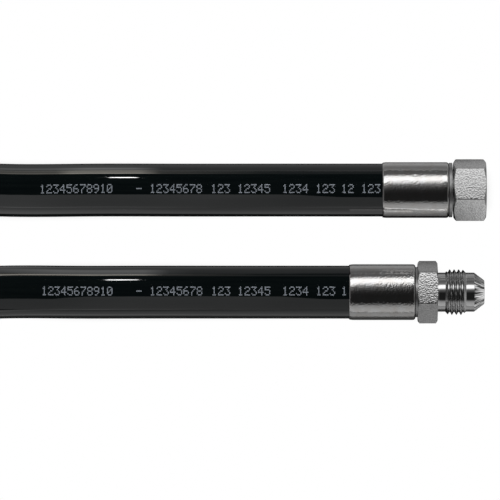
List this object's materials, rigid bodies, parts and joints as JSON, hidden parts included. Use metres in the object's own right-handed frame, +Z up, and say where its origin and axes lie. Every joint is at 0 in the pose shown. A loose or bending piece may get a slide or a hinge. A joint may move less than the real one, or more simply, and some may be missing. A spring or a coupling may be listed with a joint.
{
  "type": "hydraulic hose assembly",
  "caption": "Thermoplastic hydraulic hose, coiled, with crimped steel end fittings: a threaded male end with a conical nose and a hexagonal swivel nut end.",
  "frame": {"origin": "centre of the two end fittings' box, on the surface that the assembly lies on", "axes": "+X along both end fittings and out of their noses, +Y from the male end to the swivel female end, +Z up"},
  "size_m": [0.4069, 0.1991, 0.0367],
  "materials": {
    "plated_steel": "bright zinc plate, smooth and slightly mottled",
    "nut_steel": "zinc plate over cold-drawn hexagon bar, grainy on its flats",
    "spring_wire": "drawn spring steel wire",
    "hose_cover": "black thermoplastic, smooth and glossy",
    "hose_braid": "braided synthetic fibre",
    "hose_core": "smooth natural nylon",
    "tie_strap": "black woven strap"
  },
  "bodies": {
    "hose_and_fittings": {"female_ferrule": "plated_steel", "female_stem": "plated_steel", "female_end_core_tube": "hose_core", "female_end_inner_braid": "hose_braid", "female_end_outer_braid": "hose_braid", "female_end_cover": "hose_cover", "male_ferrule": "plated_steel", "male_stem": "plated_steel", "male_end_core_tube": "hose_core", "male_end_inner_braid": "hose_braid", "male_end_outer_braid": "hose_braid", "male_end_cover": "hose_cover", "hose_run_female": "hose_cover", "hose_coil": "hose_cover", "hose_run_male": "hose_cover", "coil_tie_1": "tie_strap", "coil_tie_2": "tie_strap", "coil_tie_3": "tie_strap"},
    "retaining_wire": {"nut_retaining_wire": "spring_wire"},
    "swivel_nut": {"swivel_nut": "nut_steel"}
  },
  "joints": [
    {"name": "nut_end_play", "type": "slide", "parent": "hose_and_fittings", "child": "retaining_wire", "axis": [1, 0, 0], "range_m": [-0.00025, 0.00025]},
    {"name": "nut_swivel", "type": "hinge", "parent": "retaining_wire", "child": "swivel_nut", "pos_m": [0.01635, 0.01606, 0.01018], "axis": [1, 0, 0], "continuous": true}
  ]
}
